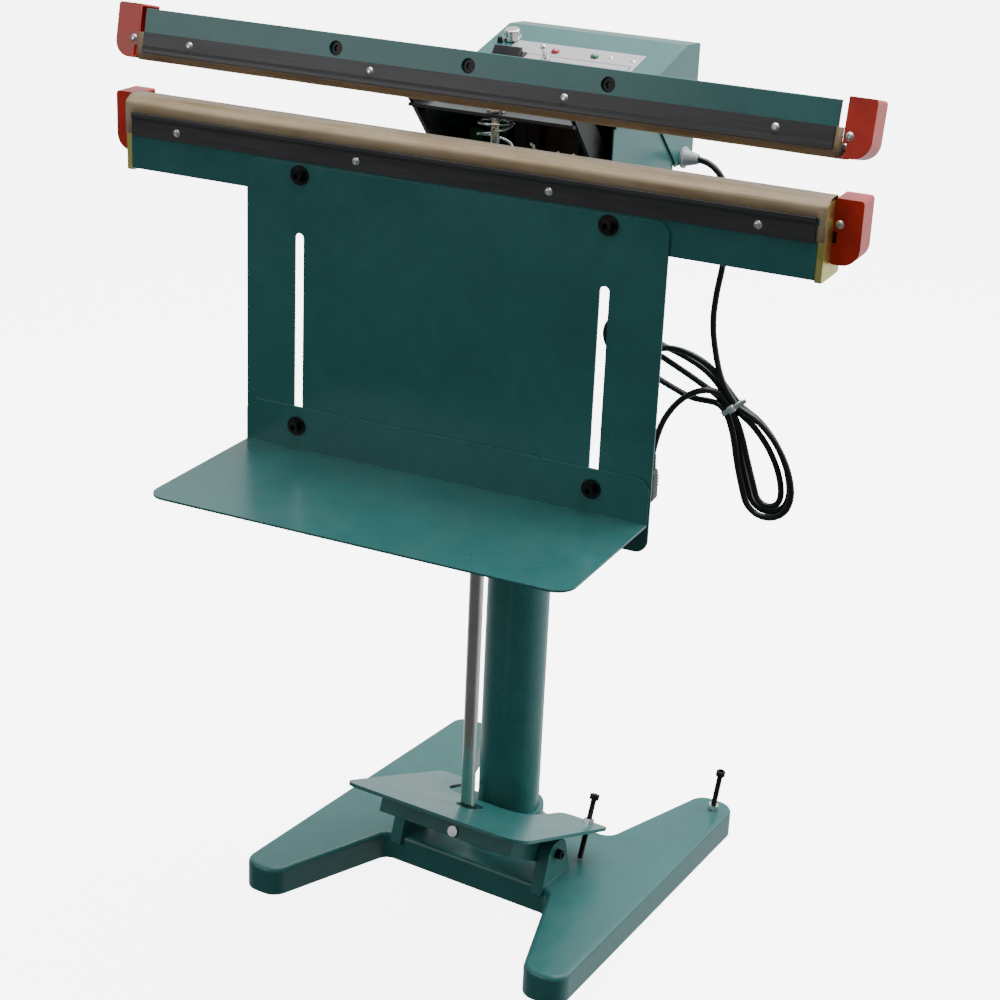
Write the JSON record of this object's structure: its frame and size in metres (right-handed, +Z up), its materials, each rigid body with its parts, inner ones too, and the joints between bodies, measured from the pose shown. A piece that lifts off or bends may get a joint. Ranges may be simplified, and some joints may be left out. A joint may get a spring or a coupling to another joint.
{
  "type": "foot pedal impulse heat sealer",
  "caption": "Free-standing impulse heat sealer: a foot pedal and pull rod close a long sprung upper jaw on a heated lower jaw, with backboard, sliding tray and control box.",
  "frame": {"origin": "the column's axis where it meets the floor", "axes": "+X along the jaws to the user's right, -Y towards the user, +Z up"},
  "size_m": [0.72, 0.5598, 0.8758],
  "materials": {
    "teal_paint": "satin hammered enamel",
    "cast_paint": "painted casting, satin enamel",
    "bright_steel": "ground bar",
    "zinc": "bright zinc plate",
    "chrome": "polished",
    "black_steel": "black oxide",
    "spring_steel": "oiled wire",
    "plated_core": "yellow chromate",
    "nichrome": "ribbon",
    "dark_strip": "dark grey anodised",
    "panel_plate": "satin lilac grey",
    "ptfe_cloth": "woven glass coated with PTFE",
    "silicone": "matt",
    "red_plastic": "moulded",
    "black_plastic": "moulded",
    "lamp_red": "clear tinted",
    "lamp_green": "clear tinted",
    "core_iron": "varnished laminations",
    "board_green": "solder mask",
    "cord_rubber": "smooth black sheath",
    "tie_white": "nylon",
    "clear_clamp": "pale nylon"
  },
  "bodies": {
    "stand": {"base_casting": "cast_paint", "column": "teal_paint", "column_head": "cast_paint", "column_fasteners": "black_steel", "levelling_bolt": "black_steel", "levelling_nut": "zinc", "pedal_pivot_bolt": "black_steel", "return_spring": "spring_steel", "chassis": "teal_paint", "hinge_shaft": "bright_steel", "top_cover": "teal_paint", "rear_panel": "teal_paint", "control_panel": "panel_plate", "rocker_frame": "black_plastic", "toggle_body": "zinc", "fuse_cap": "black_plastic", "power_lamp": "lamp_red", "sealing_lamp": "lamp_green", "panel_screws": "zinc", "transformer": "core_iron", "circuit_board": "board_green", "micro_switch": "black_plastic", "terminal_block": "black_plastic", "wing_nut": "zinc", "wire_hook": "zinc", "lower_beam": "teal_paint", "lower_core": "plated_core", "heating_element": "nichrome", "lower_cloth": "ptfe_cloth", "lower_strip": "dark_strip", "lower_jaw_screws": "zinc", "lower_caps": "red_plastic", "back_plate": "teal_paint", "plate_screws": "black_steel", "cord_gland": "clear_clamp", "cord_supply": "cord_rubber", "cord_hank": "cord_rubber", "cord_tie": "tie_white", "cord_tail": "cord_rubber", "plug": "black_plastic"},
    "pedal": {"foot_pedal": "teal_paint", "rod_pin": "zinc", "pedal_stop_bolt": "black_steel", "pedal_stop_nut": "zinc"},
    "rod": {"pull_rod": "bright_steel", "rod_nuts": "zinc"},
    "upper_jaw": {"upper_beam": "teal_paint", "upper_silicone": "silicone", "upper_cloth": "ptfe_cloth", "upper_strip": "dark_strip", "upper_jaw_screws": "zinc", "upper_caps": "red_plastic", "jaw_bracket": "black_steel", "jaw_bolts": "black_steel"},
    "tray": {"tray": "teal_paint", "tray_screws": "black_steel"},
    "timer": {"timer_knob": "chrome"},
    "power_switch": {"power_rocker": "black_plastic"},
    "mode_switch": {"toggle_lever": "chrome"},
    "jaw_switch": {"switch_lever": "zinc"}
  },
  "joints": [
    {"name": "jaw_hinge", "type": "hinge", "parent": "stand", "child": "upper_jaw", "pos_m": [0, -0.0335, 0.759], "axis": [1, 0, 0], "range_deg": [0, 12.1], "stiffness_Nm_per_rad": 30, "springref_deg": -20.05},
    {"name": "pedal_hinge", "type": "hinge", "parent": "stand", "child": "pedal", "pos_m": [-0.00565, -0.05471, 0.058], "axis": [0.9947, -0.1028, 0], "range_deg": [0, 16.8]},
    {"name": "rod_slide", "type": "slide", "parent": "stand", "child": "rod", "axis": [0, 0, 1], "range_m": [-0.0139, 0], "deforming": ["return_spring"]},
    {"name": "tray_slide", "type": "slide", "parent": "stand", "child": "tray", "axis": [0, 0, 1], "range_m": [-0.018, 0.17]},
    {"name": "timer_turn", "type": "hinge", "parent": "stand", "child": "timer", "pos_m": [-0.073, 0.084, 0.83955], "axis": [0, -0.2412, 0.9705], "range_deg": [0, 270]},
    {"name": "power_rock", "type": "hinge", "parent": "stand", "child": "power_switch", "pos_m": [-0.0606, 0.04636, 0.82866], "axis": [1, 0, 0], "range_deg": [0, 14]},
    {"name": "mode_flip", "type": "hinge", "parent": "stand", "child": "mode_switch", "pos_m": [-0.022, 0.0484, 0.83328], "axis": [-1, 0, 0], "range_deg": [0, 24]},
    {"name": "jaw_switch_lever", "type": "hinge", "parent": "stand", "child": "jaw_switch", "pos_m": [0.062, 0.004, 0.7474], "axis": [1, 0, 0], "range_deg": [0, 5]}
  ],
  "couplings": [
    {"joint": "pedal_hinge", "follows": "jaw_hinge", "ratio": 1.3883},
    {"joint": "rod_slide", "follows": "jaw_hinge", "m_per_rad": -0.06577},
    {"joint": "jaw_switch_lever", "follows": "jaw_hinge", "ratio": 0.4}
  ]
}
